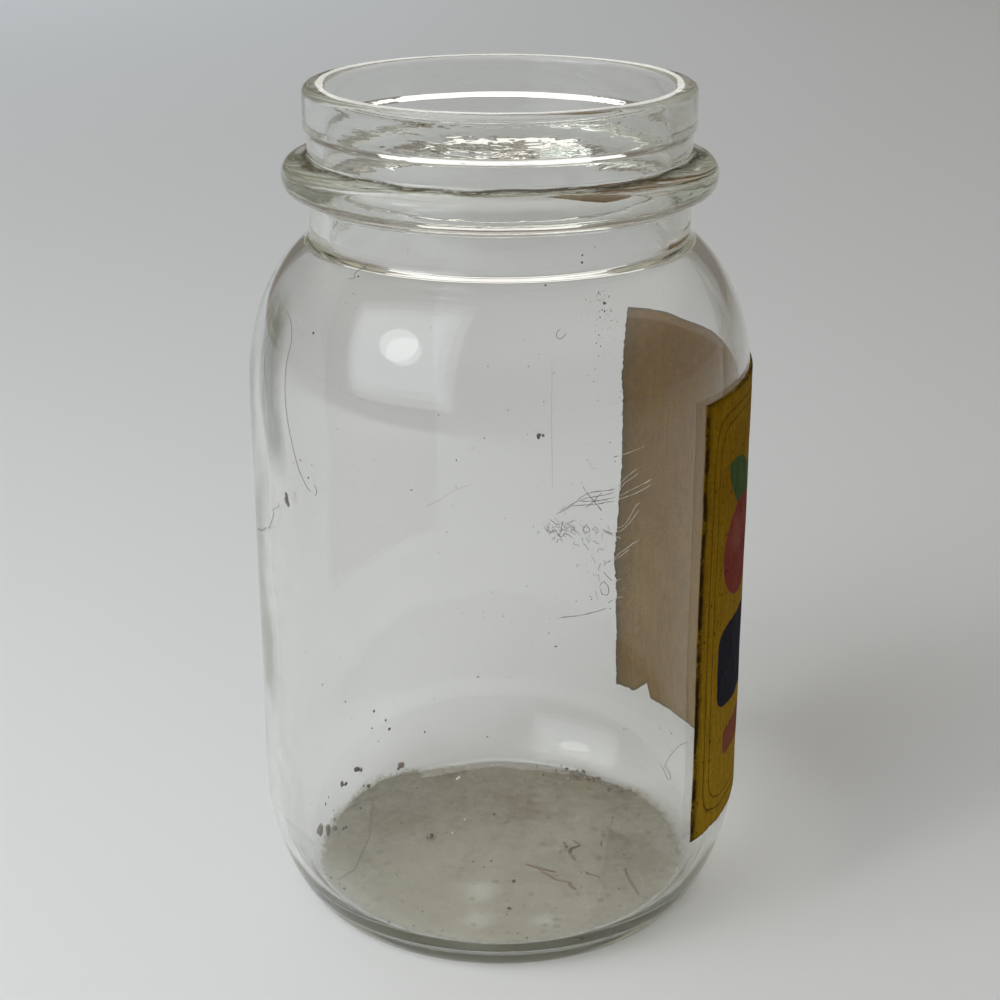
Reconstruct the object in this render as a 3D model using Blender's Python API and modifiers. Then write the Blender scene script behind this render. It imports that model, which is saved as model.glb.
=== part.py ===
"""Empty glass jam jar with a worn paper label: one turned glass body and one curved sheet of paper.

Metres, +Z up. The origin is the centre of the foot, on the surface that the jar stands on, and
+Z is the jar's axis. Angles round the jar are counted from its front (-Y) towards its right (+X).
"""
import math

import bmesh
import bpy

# Driving sizes of the glass
HEIGHT = 0.170
BODY_RADIUS = 0.050
BODY_WALL = 0.0022
NECK_RADIUS = 0.03715
MOUTH_RADIUS = 0.0334
SEGMENTS = 72

# Lip and the smooth band under it, which is a little wider than the neck
BAND_RADIUS = 0.03786
LIP_INNER_ROUND = 0.0012
LIP_OUTER_ROUND = 0.00165
BAND_BOTTOM = 0.1622
BAND_STEP = 0.0010

# Collar, a round bead below the band
COLLAR_RADIUS = 0.0422
COLLAR_MIDDLE = 0.15305
COLLAR_HALF_HEIGHT = 0.00355
COLLAR_FULLNESS = 2.6

# Shoulder: where it starts on the body, how high and how far in its curve runs, and how full it is
SHOULDER_BOTTOM = 0.11125
SHOULDER_HEIGHT = 0.03267
SHOULDER_REACH = 0.02206
SHOULDER_FULLNESS = 2.03
NECK_FILLET = 0.0016
INNER_SHOULDER_BOTTOM = 0.1105
INNER_SHOULDER_HEIGHT = 0.031
INNER_SHOULDER_REACH = 0.0213
INNER_SHOULDER_FULLNESS = 2.1

# Heel, the long curve from the body wall down to the foot
HEEL_HEIGHT = 0.0236
HEEL_REACH = 0.0098
HEEL_FULLNESS = 1.53
INNER_HEEL_HEIGHT = 0.020
INNER_HEEL_REACH = 0.0085
INNER_HEEL_FULLNESS = 1.7

# Foot: a flat ring round a shallow push-up, and a floor that is slightly domed inside
FOOT_WIDTH = 0.0037
PUSH_UP = 0.0024
FLOOR_EDGE_HEIGHT = 0.0040
FLOOR_RISE = 0.0012

# Label, a sheet of paper wrapped round the right side, a little higher at its far end
LABEL_FROM = math.radians(50.0)
LABEL_TO = math.radians(145.7)
LABEL_BOTTOM = 0.0231
LABEL_TOP = 0.1157
LABEL_RISE = 0.0010
LABEL_GAP = 0.0003
PAPER = 0.0003
LABEL_COLUMN = math.radians(3.0)
LABEL_ROWS = 4

# Torn notch in the label's lower edge near its far end: one steep side and one long slanting side
NOTCH_FROM = math.radians(133.6)
NOTCH_DEEPEST = math.radians(134.8)
NOTCH_TO = math.radians(139.6)
NOTCH_DEPTH = 0.0036


def clear_scene():
    """Start from an empty scene."""
    for thing in list(bpy.data.objects):
        bpy.data.objects.remove(thing, do_unlink=True)


def make_material(name, color, roughness, transmission=0.0, ior=1.5):
    """One Principled material."""
    material = bpy.data.materials.new(name)
    material.use_nodes = True
    shader = material.node_tree.nodes["Principled BSDF"]
    shader.inputs["Base Color"].default_value = (*color, 1.0)
    shader.inputs["Roughness"].default_value = roughness
    shader.inputs["Metallic"].default_value = 0.0
    shader.inputs["Transmission Weight"].default_value = transmission
    shader.inputs["IOR"].default_value = ior
    return material


def superellipse(centre, reach, fullness, start, end, steps):
    """Points (r, z) on a superellipse round centre, between two of its angles in degrees."""
    points = []
    for step in range(steps + 1):
        angle = math.radians(start + (end - start) * step / steps)
        across = abs(math.cos(angle)) ** (2.0 / fullness)
        up = math.copysign(abs(math.sin(angle)) ** (2.0 / fullness), math.sin(angle))
        points.append((centre[0] + reach[0] * across, centre[1] + reach[1] * up))
    return points


def angle_at_radius(centre_radius, reach, fullness, radius):
    """The superellipse angle, in degrees, at which its curve passes a radius."""
    share = (radius - centre_radius) / reach
    return math.degrees(math.acos(share ** (fullness / 2.0)))


def eased_corner(start, corner, end, steps):
    """A corner rounded off between two points, as a quadratic curve through (r, z) points."""
    points = []
    for step in range(steps + 1):
        t = step / steps
        weights = ((1 - t) ** 2, 2 * t * (1 - t), t ** 2)
        points.append(tuple(
            weights[0] * start[i] + weights[1] * corner[i] + weights[2] * end[i] for i in range(2)
        ))
    return points


def dome(edge_radius, edge_height, rise, steps):
    """Points from the axis out to a dome's edge."""
    points = []
    for step in range(steps + 1):
        radius = edge_radius * step / steps
        points.append((radius, edge_height + rise * (1.0 - (radius / edge_radius) ** 2)))
    return points


def inside_of_jar():
    """The hollow's outline, from the middle of the floor up to the mouth."""
    inner_radius = BODY_RADIUS - BODY_WALL
    floor_radius = inner_radius - INNER_HEEL_REACH
    floor = dome(floor_radius, FLOOR_EDGE_HEIGHT, FLOOR_RISE, 3)
    heel_top = FLOOR_EDGE_HEIGHT + INNER_HEEL_HEIGHT
    heel = superellipse((floor_radius, heel_top), (INNER_HEEL_REACH, INNER_HEEL_HEIGHT),
                        INNER_HEEL_FULLNESS, -90.0, 0.0, 8)
    shoulder_centre = inner_radius - INNER_SHOULDER_REACH
    neck_angle = angle_at_radius(shoulder_centre, INNER_SHOULDER_REACH, INNER_SHOULDER_FULLNESS,
                                 MOUTH_RADIUS + NECK_FILLET)
    shoulder = superellipse((shoulder_centre, INNER_SHOULDER_BOTTOM),
                            (INNER_SHOULDER_REACH, INNER_SHOULDER_HEIGHT),
                            INNER_SHOULDER_FULLNESS, 0.0, neck_angle, 7)
    root = shoulder.pop()
    neck_foot = (MOUTH_RADIUS, root[1] + NECK_FILLET)
    fillet = eased_corner(root, (MOUTH_RADIUS, root[1] + NECK_FILLET / 2), neck_foot, 2)
    return floor[:-1] + heel + shoulder + fillet


def lip_and_band():
    """The rounded lip, the band under it and the small step in to the neck."""
    inner_top = (MOUTH_RADIUS + LIP_INNER_ROUND, HEIGHT)
    outer_top = (BAND_RADIUS - LIP_OUTER_ROUND, HEIGHT)
    inner_lip = eased_corner((MOUTH_RADIUS, HEIGHT - LIP_INNER_ROUND), (MOUTH_RADIUS, HEIGHT),
                             inner_top, 3)
    outer_lip = eased_corner(outer_top, (BAND_RADIUS, HEIGHT),
                             (BAND_RADIUS, HEIGHT - LIP_OUTER_ROUND), 3)
    step = [(BAND_RADIUS, BAND_BOTTOM), (NECK_RADIUS, BAND_BOTTOM - BAND_STEP)]
    return inner_lip + outer_lip + step


def outside_of_jar():
    """The outline from the collar down over the shoulder, body and heel to the foot."""
    collar = superellipse((NECK_RADIUS, COLLAR_MIDDLE),
                          (COLLAR_RADIUS - NECK_RADIUS, COLLAR_HALF_HEIGHT),
                          COLLAR_FULLNESS, 90.0, -90.0, 10)
    shoulder_centre = BODY_RADIUS - SHOULDER_REACH
    neck_angle = angle_at_radius(shoulder_centre, SHOULDER_REACH, SHOULDER_FULLNESS,
                                 NECK_RADIUS + NECK_FILLET)
    shoulder = superellipse((shoulder_centre, SHOULDER_BOTTOM), (SHOULDER_REACH, SHOULDER_HEIGHT),
                            SHOULDER_FULLNESS, neck_angle, 0.0, 8)
    root = shoulder.pop(0)
    corner = (NECK_RADIUS, root[1] + NECK_FILLET * 0.7)
    fillet = eased_corner((NECK_RADIUS, corner[1] + NECK_FILLET), corner, root, 3)
    heel = superellipse((BODY_RADIUS - HEEL_REACH, HEEL_HEIGHT), (HEEL_REACH, HEEL_HEIGHT),
                        HEEL_FULLNESS, 0.0, -90.0, 9)
    foot_inner = BODY_RADIUS - HEEL_REACH - FOOT_WIDTH
    push_up = dome(foot_inner, 0.0, PUSH_UP, 3)
    push_up.reverse()
    return collar + fillet + shoulder + heel + push_up


def make_jar(collection):
    """The glass body, turned from its half section with a Screw modifier."""
    section = inside_of_jar() + lip_and_band() + outside_of_jar()
    mesh = bpy.data.meshes.new("jar")
    points = [(radius, 0.0, height) for radius, height in section]
    edges = [(i, i + 1) for i in range(len(points) - 1)]
    mesh.from_pydata(points, edges, [])
    jar = bpy.data.objects.new("jar", mesh)
    collection.objects.link(jar)
    turn = jar.modifiers.new("turn", "SCREW")
    turn.axis = "Z"
    turn.angle = 2.0 * math.pi
    turn.steps = SEGMENTS
    turn.render_steps = SEGMENTS
    turn.use_merge_vertices = True
    turn.merge_threshold = 0.00001
    turn.use_smooth_shade = True
    mesh.materials.append(make_material("glass", (0.86, 0.90, 0.87), 0.05, transmission=1.0))
    return jar


def label_angles():
    """The label's columns: evenly spaced, with one at each corner of the torn notch."""
    count = round((LABEL_TO - LABEL_FROM) / LABEL_COLUMN)
    angles = [LABEL_FROM + (LABEL_TO - LABEL_FROM) * i / count for i in range(count + 1)]
    notch = [NOTCH_FROM, NOTCH_DEEPEST, NOTCH_TO]
    near = LABEL_COLUMN * 0.4
    angles = [a for a in angles[:-1] if min(abs(a - n) for n in notch) > near]
    return sorted(angles + notch + [LABEL_TO])


def label_rise_at(angle):
    """How much higher the label sits at an angle than at its near end."""
    return LABEL_RISE * (angle - LABEL_FROM) / (LABEL_TO - LABEL_FROM)


def notch_depth_at(angle):
    """Height of the torn notch above the label's lower edge."""
    if angle < NOTCH_DEEPEST:
        share = (angle - NOTCH_FROM) / (NOTCH_DEEPEST - NOTCH_FROM)
    else:
        share = (NOTCH_TO - angle) / (NOTCH_TO - NOTCH_DEEPEST)
    return NOTCH_DEPTH * max(0.0, share)


def make_label(collection):
    """The paper label: an open curved sheet given its thickness by Solidify."""
    radius = BODY_RADIUS + LABEL_GAP
    sheet = bmesh.new()
    columns = []
    for angle in label_angles():
        rise = label_rise_at(angle)
        low = LABEL_BOTTOM + rise + notch_depth_at(angle)
        high = LABEL_TOP + rise
        column = []
        for row in range(LABEL_ROWS + 1):
            height = low + (high - low) * row / LABEL_ROWS
            place = (radius * math.sin(angle), -radius * math.cos(angle), height)
            column.append(sheet.verts.new(place))
        columns.append(column)
    for left, right in zip(columns, columns[1:]):
        for row in range(LABEL_ROWS):
            sheet.faces.new((left[row], right[row], right[row + 1], left[row + 1]))
    mesh = bpy.data.meshes.new("label")
    sheet.to_mesh(mesh)
    sheet.free()
    mesh.shade_smooth()
    mesh.set_sharp_from_angle(angle=math.radians(40.0))
    label = bpy.data.objects.new("label", mesh)
    collection.objects.link(label)
    paper = label.modifiers.new("paper", "SOLIDIFY")
    paper.thickness = PAPER
    paper.offset = 1.0
    mesh.materials.append(make_material("label_paper", (0.55, 0.40, 0.10), 0.75))
    return label


def main():
    clear_scene()
    collection = bpy.data.collections.new("jam_jar")
    bpy.context.scene.collection.children.link(collection)
    make_jar(collection)
    make_label(collection)


main()
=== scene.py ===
"""Looks of an empty jam jar of clear glass, dusty and stained, with a worn paper label on its right side.

Angles round the jar are in degrees, counted from its front (-Y) towards its right (+X).
"""
import math

import bpy
import numpy as np
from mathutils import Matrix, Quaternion, Vector


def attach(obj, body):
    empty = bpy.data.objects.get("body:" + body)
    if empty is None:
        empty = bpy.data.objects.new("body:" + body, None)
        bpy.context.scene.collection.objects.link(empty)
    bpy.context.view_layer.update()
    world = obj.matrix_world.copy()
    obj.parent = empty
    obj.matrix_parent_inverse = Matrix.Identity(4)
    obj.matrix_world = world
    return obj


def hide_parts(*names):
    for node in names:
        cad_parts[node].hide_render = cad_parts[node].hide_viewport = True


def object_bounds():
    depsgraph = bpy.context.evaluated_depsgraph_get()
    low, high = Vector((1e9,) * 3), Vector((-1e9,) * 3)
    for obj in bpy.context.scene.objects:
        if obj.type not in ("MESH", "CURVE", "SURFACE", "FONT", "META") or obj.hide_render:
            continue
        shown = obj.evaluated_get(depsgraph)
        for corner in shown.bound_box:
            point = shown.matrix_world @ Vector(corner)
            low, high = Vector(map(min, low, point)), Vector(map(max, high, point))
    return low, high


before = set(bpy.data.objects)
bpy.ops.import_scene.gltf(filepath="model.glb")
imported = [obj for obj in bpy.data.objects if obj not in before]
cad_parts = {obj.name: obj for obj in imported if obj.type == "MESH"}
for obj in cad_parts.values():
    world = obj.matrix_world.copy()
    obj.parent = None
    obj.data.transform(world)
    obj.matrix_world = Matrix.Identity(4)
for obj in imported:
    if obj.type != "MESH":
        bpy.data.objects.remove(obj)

CAD_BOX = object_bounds()
MM = 0.001
SEED = 7

# The glass, as the CAD solid has it
HEIGHT = CAD_BOX[1][2]
BODY_RADIUS = -CAD_BOX[0][0]
BODY_WALL = 2.2 * MM
NECK_RADIUS = 37.15 * MM
MOUTH_RADIUS = 33.4 * MM
BAND_RADIUS = 37.86 * MM
LIP_INNER_ROUND = 1.2 * MM
LIP_OUTER_ROUND = 1.65 * MM
BAND_BOTTOM = 162.2 * MM
BAND_STEP = 1.0 * MM
COLLAR_RADIUS = 42.2 * MM
COLLAR_MIDDLE = 153.05 * MM
COLLAR_HALF_HEIGHT = 3.55 * MM
COLLAR_FULLNESS = 2.6
SHOULDER_BOTTOM = 111.25 * MM
SHOULDER_HEIGHT = 32.67 * MM
SHOULDER_REACH = 22.06 * MM
SHOULDER_FULLNESS = 2.03
NECK_FILLET = 1.6 * MM
INNER_SHOULDER_BOTTOM = 110.5 * MM
INNER_SHOULDER_HEIGHT = 31.0 * MM
INNER_SHOULDER_REACH = 21.3 * MM
INNER_SHOULDER_FULLNESS = 2.1
HEEL_HEIGHT = 23.6 * MM
HEEL_REACH = 9.8 * MM
HEEL_FULLNESS = 1.53
INNER_HEEL_HEIGHT = 20.0 * MM
INNER_HEEL_REACH = 8.5 * MM
INNER_HEEL_FULLNESS = 1.7
FOOT_WIDTH = 3.7 * MM
PUSH_UP = 2.4 * MM
FLOOR_EDGE_HEIGHT = 4.0 * MM
FLOOR_RISE = 1.2 * MM
GLASS_SEGMENTS = 288

# The label, as the CAD solid has it, but with its back sunk into the glass so that it looks glued
LABEL_FROM = 50.0
LABEL_TO = 145.0
LABEL_BOTTOM = 23.1 * MM
LABEL_TOP = 115.7 * MM
LABEL_RISE = 1.0 * MM
LABEL_BACK = BODY_RADIUS - 0.08 * MM
LABEL_FACE = BODY_RADIUS + 0.28 * MM
NOTCH_FROM, NOTCH_DEEPEST, NOTCH_TO = 133.2, 134.4, 138.8
NOTCH_DEPTH = 3.6 * MM
LABEL_COLUMNS = 260
LABEL_ROWS = 260

# The camera, at the photograph's viewing angle
CAMERA_DISTANCE = 0.380
CAMERA_HEIGHT = 0.22937
CAMERA_TILT = math.radians(20.84)
CAMERA_LENS = 71.15
CAMERA_SENSOR = 36.0


# Outlines of the turned glass

def superellipse(centre, reach, fullness, start, end, steps):
    """Points (r, z) on a superellipse round centre, between two of its angles in degrees."""
    points = []
    for step in range(steps + 1):
        angle = math.radians(start + (end - start) * step / steps)
        across = abs(math.cos(angle)) ** (2.0 / fullness)
        up = math.copysign(abs(math.sin(angle)) ** (2.0 / fullness), math.sin(angle))
        points.append((centre[0] + reach[0] * across, centre[1] + reach[1] * up))
    return points


def angle_at_radius(centre_radius, reach, fullness, radius):
    """The superellipse angle, in degrees, at which its curve passes a radius."""
    share = (radius - centre_radius) / reach
    return math.degrees(math.acos(share ** (fullness / 2.0)))


def eased_corner(start, corner, end, steps):
    """A corner rounded off between two points, as a quadratic curve."""
    points = []
    for step in range(steps + 1):
        t = step / steps
        weights = ((1 - t) ** 2, 2 * t * (1 - t), t ** 2)
        points.append(tuple(
            weights[0] * start[i] + weights[1] * corner[i] + weights[2] * end[i] for i in range(2)
        ))
    return points


def dome(edge_radius, edge_height, rise, steps):
    """Points from the axis out to a dome's edge."""
    points = []
    for step in range(steps + 1):
        radius = edge_radius * step / steps
        points.append((radius, edge_height + rise * (1.0 - (radius / edge_radius) ** 2)))
    return points


def evenly(start, end, steps):
    """Points strictly between two others on a straight line."""
    return [tuple(start[i] + (end[i] - start[i]) * step / steps for i in range(2))
            for step in range(1, steps)]


def inside_section():
    """The hollow's outline, from the middle of the floor up to the mouth."""
    inner_radius = BODY_RADIUS - BODY_WALL
    floor_radius = inner_radius - INNER_HEEL_REACH
    floor = dome(floor_radius, FLOOR_EDGE_HEIGHT, FLOOR_RISE, 14)
    heel_top = FLOOR_EDGE_HEIGHT + INNER_HEEL_HEIGHT
    heel = superellipse((floor_radius, heel_top), (INNER_HEEL_REACH, INNER_HEEL_HEIGHT),
                        INNER_HEEL_FULLNESS, -90.0, 0.0, 34)
    centre = inner_radius - INNER_SHOULDER_REACH
    neck_angle = angle_at_radius(centre, INNER_SHOULDER_REACH, INNER_SHOULDER_FULLNESS,
                                 MOUTH_RADIUS + NECK_FILLET)
    shoulder = superellipse((centre, INNER_SHOULDER_BOTTOM),
                            (INNER_SHOULDER_REACH, INNER_SHOULDER_HEIGHT),
                            INNER_SHOULDER_FULLNESS, 0.0, neck_angle, 28)
    wall = evenly(heel[-1], shoulder[0], 24)
    root = shoulder.pop()
    fillet = eased_corner(root, (MOUTH_RADIUS, root[1] + NECK_FILLET / 2),
                          (MOUTH_RADIUS, root[1] + NECK_FILLET), 6)
    neck = evenly(fillet[-1], (MOUTH_RADIUS, HEIGHT - LIP_INNER_ROUND), 30)
    return floor[:-1] + heel + wall + shoulder + fillet + neck


def outside_section():
    """The outline from the inner edge of the lip, over it and down to the middle of the underside."""
    inner_lip = eased_corner((MOUTH_RADIUS, HEIGHT - LIP_INNER_ROUND), (MOUTH_RADIUS, HEIGHT),
                             (MOUTH_RADIUS + LIP_INNER_ROUND, HEIGHT), 8)
    outer_lip = eased_corner((BAND_RADIUS - LIP_OUTER_ROUND, HEIGHT), (BAND_RADIUS, HEIGHT),
                             (BAND_RADIUS, HEIGHT - LIP_OUTER_ROUND), 8)
    step_top = (BAND_RADIUS, BAND_BOTTOM)
    step_foot = (NECK_RADIUS, BAND_BOTTOM - BAND_STEP)
    band = evenly(outer_lip[-1], (BAND_RADIUS, BAND_BOTTOM + 0.3 * MM), 9)
    step = (eased_corner((BAND_RADIUS, BAND_BOTTOM + 0.3 * MM), step_top,
                         (BAND_RADIUS - 0.2 * MM, BAND_BOTTOM - 0.25 * MM), 4)
            + eased_corner((NECK_RADIUS + 0.2 * MM, step_foot[1] + 0.25 * MM), step_foot,
                           (NECK_RADIUS, step_foot[1] - 0.4 * MM), 4))
    collar = superellipse((NECK_RADIUS, COLLAR_MIDDLE),
                          (COLLAR_RADIUS - NECK_RADIUS, COLLAR_HALF_HEIGHT),
                          COLLAR_FULLNESS, 86.0, -86.0, 36)
    collar = [(NECK_RADIUS, collar[0][1] + 0.35 * MM)] + collar
    collar.append((NECK_RADIUS, collar[-1][1] - 0.35 * MM))
    neck = evenly(step[-1], collar[0], 7)
    centre = BODY_RADIUS - SHOULDER_REACH
    neck_angle = angle_at_radius(centre, SHOULDER_REACH, SHOULDER_FULLNESS,
                                 NECK_RADIUS + NECK_FILLET)
    shoulder = superellipse((centre, SHOULDER_BOTTOM), (SHOULDER_REACH, SHOULDER_HEIGHT),
                            SHOULDER_FULLNESS, neck_angle, 0.0, 30)
    root = shoulder.pop(0)
    corner = (NECK_RADIUS, root[1] + NECK_FILLET * 0.7)
    fillet = eased_corner((NECK_RADIUS, corner[1] + NECK_FILLET), corner, root, 8)
    lower_neck = evenly(collar[-1], fillet[0], 6)
    heel = superellipse((BODY_RADIUS - HEEL_REACH, HEEL_HEIGHT), (HEEL_REACH, HEEL_HEIGHT),
                        HEEL_FULLNESS, 0.0, -90.0, 34)
    wall = evenly(shoulder[-1], heel[0], 20)
    foot_inner = BODY_RADIUS - HEEL_REACH - FOOT_WIDTH
    push_up = dome(foot_inner, 0.0, PUSH_UP, 12)
    push_up.reverse()
    return (inner_lip + outer_lip + band + step + neck + collar + lower_neck + fillet + shoulder
            + wall + heel + push_up)


INSIDE = inside_section()
OUTSIDE = outside_section()


def wall_radius(height, inside):
    """Radius of the glass at a height, on its inside or its outside."""
    section = sorted((z, r) for r, z in (INSIDE[14:] if inside else OUTSIDE))
    heights, radii = zip(*section)
    return np.interp(height, heights, radii)


def floor_height(radius):
    """Height of the inside's floor and heel at a radius."""
    low = [p for p in INSIDE if p[1] < 24.0 * MM]
    radii, heights = zip(*low)
    return np.interp(radius, radii, heights)


def round_jar(radius, angle, height):
    """World points from radius, angle in degrees and height, as an array."""
    turn = np.radians(angle)
    return np.stack(np.broadcast_arrays(radius * np.sin(turn), -radius * np.cos(turn), height), axis=-1)


def on_wall(angle, height, lift, inside):
    """Points on the glass, lifted off it into the air."""
    radius = wall_radius(height, inside)
    return round_jar(radius - lift if inside else radius + lift, angle, height)


def on_floor(angle, radius, lift):
    """Points on the inside's floor or heel, lifted off it."""
    return round_jar(radius, angle, floor_height(radius) + lift)


# Meshes

def mesh_from(name, points, faces):
    """A smooth mesh from an array of points and a list of faces."""
    mesh = bpy.data.meshes.new(name)
    mesh.from_pydata(np.asarray(points).tolist(), [], faces)
    mesh.validate()
    mesh.shade_smooth()
    return mesh


def grid_faces(rows, columns, first=0, closed=False):
    """Quads between the points of a grid that are numbered row by row."""
    index = first + np.arange(rows * columns).reshape(rows, columns)
    if closed:
        index = np.hstack([index, index[:, :1]])
    quads = np.stack([index[:-1, :-1], index[:-1, 1:], index[1:, 1:], index[1:, :-1]], axis=-1)
    return [tuple(quad) for quad in quads.reshape(-1, 4).tolist()]


def turned_mesh(section, segments, waves):
    """A turned mesh from points (r, z) whose two ends lie on the axis, closed at both."""
    angles = np.arange(segments) * (360.0 / segments)
    rings = [point for point in section if point[0] > 1e-7]
    radius = np.array([r for r, z in rings])[:, None]
    height = np.array([z for r, z in rings])[:, None]
    row = np.arange(len(rings))[:, None]
    points = round_jar(radius + waves(angles[None, :], height, row), angles[None, :], height)
    points = points.reshape(-1, 3)
    count = len(points)
    ends = [[0.0, 0.0, section[0][1]], [0.0, 0.0, section[-1][1]]]
    faces = [quad[::-1] for quad in grid_faces(len(rings), segments, closed=True)]
    first_ring = np.arange(segments)
    last_ring = first_ring + count - segments
    faces += [(count, a, b) for a, b in zip(first_ring.tolist(), np.roll(first_ring, -1).tolist())]
    faces += [(count + 1, b, a) for a, b in zip(last_ring.tolist(), np.roll(last_ring, -1).tolist())]
    return np.vstack([points, ends]), faces


def smooth_run(knots, steps):
    """A smooth run through rows of numbers, as Catmull-Rom."""
    knots = np.array(knots, dtype=float)
    padded = np.vstack([2 * knots[0] - knots[1], knots, 2 * knots[-1] - knots[-2]])
    run = []
    for i in range(len(knots) - 1):
        a, b, c, d = padded[i:i + 4]
        for t in np.arange(steps) / steps:
            run.append(0.5 * (2 * b + (c - a) * t + (2 * a - 5 * b + 4 * c - d) * t ** 2
                              + (3 * b - a - 3 * c + d) * t ** 3))
    run.append(knots[-1])
    return np.array(run)


def tube(points, diameter, sides=6):
    """Points and faces of a thin round tube along a run of points, pointed at both ends."""
    points = np.asarray(points)
    along = np.gradient(points, axis=0)
    along /= np.linalg.norm(along, axis=1)[:, None]
    outward = points * [1.0, 1.0, 0.0]
    outward /= np.maximum(np.linalg.norm(outward, axis=1)[:, None], 1e-6)
    across = np.cross(along, outward)
    across /= np.maximum(np.linalg.norm(across, axis=1)[:, None], 1e-6)
    up = np.cross(across, along)
    share = np.linspace(0.0, 1.0, len(points))
    radius = 0.5 * diameter * np.clip(np.minimum(share, 1.0 - share) * 8.0 + 0.35, 0.0, 1.0)
    turn = np.arange(sides) * (2.0 * math.pi / sides)
    rings = (points[:, None, :] + radius[:, None, None] * (
        np.cos(turn)[None, :, None] * up[:, None, :] + np.sin(turn)[None, :, None] * across[:, None, :]))
    faces = grid_faces(len(points), sides, closed=True)
    count = len(points) * sides
    ends = [points[0] - along[0] * diameter * 0.3, points[-1] + along[-1] * diameter * 0.3]
    ring = np.arange(sides)
    faces += [(count, b, a) for a, b in zip(ring.tolist(), np.roll(ring, -1).tolist())]
    ring = ring + count - sides
    faces += [(count + 1, a, b) for a, b in zip(ring.tolist(), np.roll(ring, -1).tolist())]
    return np.vstack([rings.reshape(-1, 3), ends]), faces


def icosahedron():
    """The 12 corners and 20 faces of a unit icosahedron."""
    g = (1.0 + math.sqrt(5.0)) / 2.0
    corners = [(-1, g, 0), (1, g, 0), (-1, -g, 0), (1, -g, 0), (0, -1, g), (0, 1, g),
               (0, -1, -g), (0, 1, -g), (g, 0, -1), (g, 0, 1), (-g, 0, -1), (-g, 0, 1)]
    faces = [(0, 11, 5), (0, 5, 1), (0, 1, 7), (0, 7, 10), (0, 10, 11),
             (1, 5, 9), (5, 11, 4), (11, 10, 2), (10, 7, 6), (7, 1, 8),
             (3, 9, 4), (3, 4, 2), (3, 2, 6), (3, 6, 8), (3, 8, 9),
             (4, 9, 5), (2, 4, 11), (6, 2, 10), (8, 6, 7), (9, 8, 1)]
    return np.array(corners) / math.sqrt(1.0 + g * g), faces


def specks(places, sizes, rng, flatness=0.5):
    """Points and faces of small uneven lumps, one at each place, in metres across."""
    corners, faces = icosahedron()
    all_points, all_faces = [], []
    for place, size in zip(places, sizes):
        outward = np.array([place[0], place[1], 0.0])
        outward /= max(np.linalg.norm(outward), 1e-6)
        lump = corners * rng.uniform(0.6, 1.25, (12, 1)) * rng.uniform(0.6, 1.3, 3)
        depth = lump @ outward
        lump = lump - (1.0 - flatness) * depth[:, None] * outward
        start = len(all_points) * 12
        all_points.append(np.asarray(place) + lump * size * 0.5)
        all_faces += [tuple(start + i for i in face) for face in faces]
    return np.vstack(all_points), all_faces


def joined(shapes):
    """Several (points, faces) shapes as one."""
    points, faces, start = [], [], 0
    for shape_points, shape_faces in shapes:
        points.append(shape_points)
        faces += [tuple(start + i for i in face) for face in shape_faces]
        start += len(shape_points)
    return np.vstack(points), faces


def add_piece(name, mesh, materials, replaced=None):
    """Put a mesh in the scene as a piece that rides on the jar."""
    piece = bpy.data.objects.new(name, mesh)
    bpy.context.scene.collection.objects.link(piece)
    for material in materials:
        mesh.materials.append(material)
    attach(piece, "root")
    if replaced:
        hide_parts(replaced)
    return piece


# Shader groups that several materials share

class Group:
    """Builds one shader node group from named inputs and outputs."""

    def __init__(self, name, inputs, outputs):
        self.tree = bpy.data.node_groups.new(name, "ShaderNodeTree")
        for socket, kind, value in inputs:
            made = self.tree.interface.new_socket(name=socket, in_out="INPUT", socket_type=kind)
            if value is not None:
                made.default_value = value
        for socket, kind in outputs:
            self.tree.interface.new_socket(name=socket, in_out="OUTPUT", socket_type=kind)
        self.start = self.tree.nodes.new("NodeGroupInput")
        self.end = self.tree.nodes.new("NodeGroupOutput")

    def math(self, operation, *values, clamp=False):
        return math_node(self.tree, operation, *values, clamp=clamp)


FLOAT = "NodeSocketFloat"
VECTOR = "NodeSocketVector"


def feed(tree, socket, value):
    """Link a socket to another, or set its plain value."""
    if isinstance(value, bpy.types.NodeSocket):
        tree.links.new(value, socket)
    else:
        socket.default_value = value


def math_node(tree, operation, *values, clamp=False):
    """A Math node on sockets or numbers, giving its output."""
    node = tree.nodes.new("ShaderNodeMath")
    node.operation = operation
    node.use_clamp = clamp
    for socket, value in zip(node.inputs, values):
        feed(tree, socket, value)
    return node.outputs[0]


def vector_node(tree, operation, *values):
    """A Vector Math node on sockets or vectors, giving its output."""
    node = tree.nodes.new("ShaderNodeVectorMath")
    node.operation = operation
    for socket, value in zip(node.inputs, values):
        feed(tree, socket, value)
    return node.outputs["Value" if operation in ("LENGTH", "DOT_PRODUCT", "DISTANCE") else "Vector"]


def noise_node(tree, place, scale, detail, roughness, distortion=0.0):
    """A Noise Texture's plain value."""
    node = tree.nodes.new("ShaderNodeTexNoise")
    feed(tree, node.inputs["Vector"], place)
    feed(tree, node.inputs["Scale"], scale)
    node.inputs["Detail"].default_value = detail
    node.inputs["Roughness"].default_value = roughness
    node.inputs["Distortion"].default_value = distortion
    return node.outputs["Fac"]


def ramp_node(tree, value, low, high, low_value=0.0, high_value=1.0, smooth=True):
    """A value carried from one range to another, clamped."""
    node = tree.nodes.new("ShaderNodeMapRange")
    node.interpolation_type = "SMOOTHSTEP" if smooth else "LINEAR"
    node.clamp = True
    for socket, number in zip(node.inputs[:5], (value, low, high, low_value, high_value)):
        feed(tree, socket, number)
    return node.outputs[0]


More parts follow.
